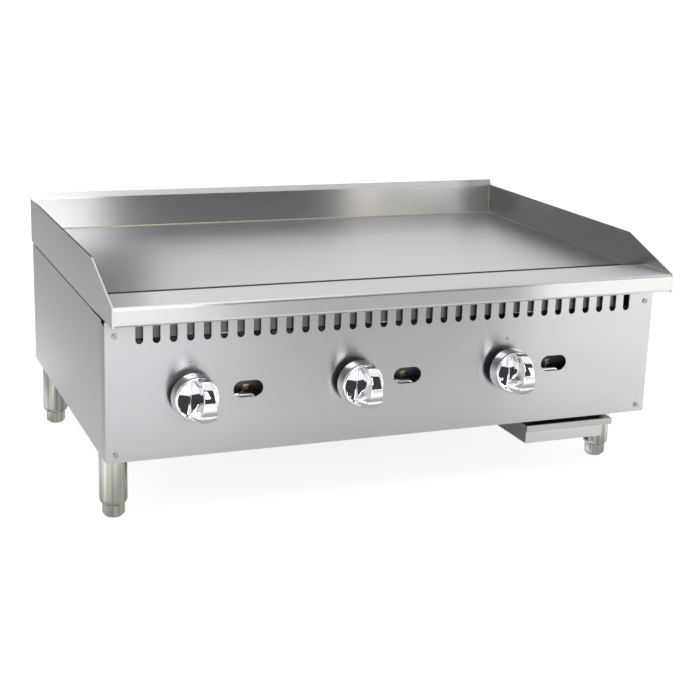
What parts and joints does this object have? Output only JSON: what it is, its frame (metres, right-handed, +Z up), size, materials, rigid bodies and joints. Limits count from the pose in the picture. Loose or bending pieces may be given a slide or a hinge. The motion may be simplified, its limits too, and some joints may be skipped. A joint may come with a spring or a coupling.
{
  "type": "countertop gas griddle",
  "caption": "Flat steel griddle plate with splash walls on a gas-fired sheet-metal cabinet, with control knobs, a grease trough, a pull-out grease drawer and screw-adjusted legs.",
  "frame": {"origin": "middle of the whole object's footprint, on the surface that its feet stand on", "axes": "+X to the user's right, +Y from the knobs to the back, +Z up"},
  "size_m": [0.9144, 0.708, 0.402],
  "materials": {
    "plate_steel": "smooth ground steel with a light semi-gloss",
    "splash_steel": "satin stainless, brushed lengthwise",
    "trough_steel": "satin stainless, greasy",
    "panel_steel": "satin stainless, brushed sideways",
    "post_steel": "satin stainless, brushed upright",
    "plain_steel": "zinc-coated sheet, dull",
    "drawer_steel": "satin stainless sheet",
    "leg_nickel": "satin nickel plate",
    "foot_nickel": "satin nickel plate",
    "knob_chrome": "polished chrome on die-cast zinc",
    "black_pipe": "black-painted gas pipe",
    "valve_brass": "plain machined brass",
    "burner_steel": "aluminised steel, heat-dulled",
    "tube_aluminium": "bright drawn aluminium tube",
    "fastener_zinc": "bright zinc plate"
  },
  "bodies": {
    "cabinet": {"griddle_plate": "plate_steel", "back_splash": "splash_steel", "left_splash": "splash_steel", "right_splash": "splash_steel", "front_ledge": "splash_steel", "slot_baffle": "trough_steel", "grease_trough": "trough_steel", "grease_chute": "trough_steel", "plate_rails": "plain_steel", "front_panel": "panel_steel", "left_side_panel": "panel_steel", "right_side_panel": "panel_steel", "back_panel": "plain_steel", "bottom_pan": "plain_steel", "corner_posts": "post_steel", "front_burner_rail": "plain_steel", "rear_burner_rail": "plain_steel", "leg_gussets": "plain_steel", "leg_nuts": "fastener_zinc", "leg_front_left": "leg_nickel", "leg_front_right": "leg_nickel", "leg_rear_left": "leg_nickel", "leg_rear_right": "leg_nickel", "gas_manifold": "black_pipe", "manifold_cap": "black_pipe", "manifold_elbow": "black_pipe", "supply_pipe": "black_pipe", "manifold_brackets": "plain_steel", "gas_valve_left": "valve_brass", "gas_valve_center": "valve_brass", "gas_valve_right": "valve_brass", "orifice_hoods": "valve_brass", "air_shutters": "burner_steel", "burner_left": "burner_steel", "burner_center": "burner_steel", "burner_right": "burner_steel", "pilot_burners": "valve_brass", "pilot_brackets": "burner_steel", "pilot_valves": "valve_brass", "pilot_tubes": "tube_aluminium", "lighting_pilots": "valve_brass", "drawer_rails": "plain_steel", "panel_screws": "fastener_zinc", "index_studs": "fastener_zinc"},
    "left_control": {"knob_left": "knob_chrome", "valve_stem_left": "valve_brass"},
    "center_control": {"knob_center": "knob_chrome", "valve_stem_center": "valve_brass"},
    "right_control": {"knob_right": "knob_chrome", "valve_stem_right": "valve_brass"},
    "drawer": {"grease_drawer": "drawer_steel", "drawer_flanges": "drawer_steel"},
    "front_left_foot": {"foot_front_left": "foot_nickel"},
    "front_right_foot": {"foot_front_right": "foot_nickel"},
    "rear_left_foot": {"foot_rear_left": "foot_nickel"},
    "rear_right_foot": {"foot_rear_right": "foot_nickel"}
  },
  "joints": [
    {"name": "left_knob_turn", "type": "hinge", "parent": "cabinet", "child": "left_control", "pos_m": [-0.3289, -0.2938, 0.1985], "axis": [0, -1, 0], "range_deg": [0, 90]},
    {"name": "center_knob_turn", "type": "hinge", "parent": "cabinet", "child": "center_control", "pos_m": [-0.0694, -0.2938, 0.1985], "axis": [0, -1, 0], "range_deg": [0, 90]},
    {"name": "right_knob_turn", "type": "hinge", "parent": "cabinet", "child": "right_control", "pos_m": [0.1901, -0.2938, 0.1985], "axis": [0, -1, 0], "range_deg": [0, 90]},
    {"name": "drawer_slide", "type": "slide", "parent": "cabinet", "child": "drawer", "axis": [0, -1, 0], "range_m": [0, 0.34]},
    {"name": "front_left_foot_screw", "type": "slide", "parent": "cabinet", "child": "front_left_foot", "axis": [0, 0, -1], "range_m": [0, 0.025]},
    {"name": "front_right_foot_screw", "type": "slide", "parent": "cabinet", "child": "front_right_foot", "axis": [0, 0, -1], "range_m": [0, 0.025]},
    {"name": "rear_left_foot_screw", "type": "slide", "parent": "cabinet", "child": "rear_left_foot", "axis": [0, 0, -1], "range_m": [0, 0.025]},
    {"name": "rear_right_foot_screw", "type": "slide", "parent": "cabinet", "child": "rear_right_foot", "axis": [0, 0, -1], "range_m": [0, 0.025]}
  ]
}
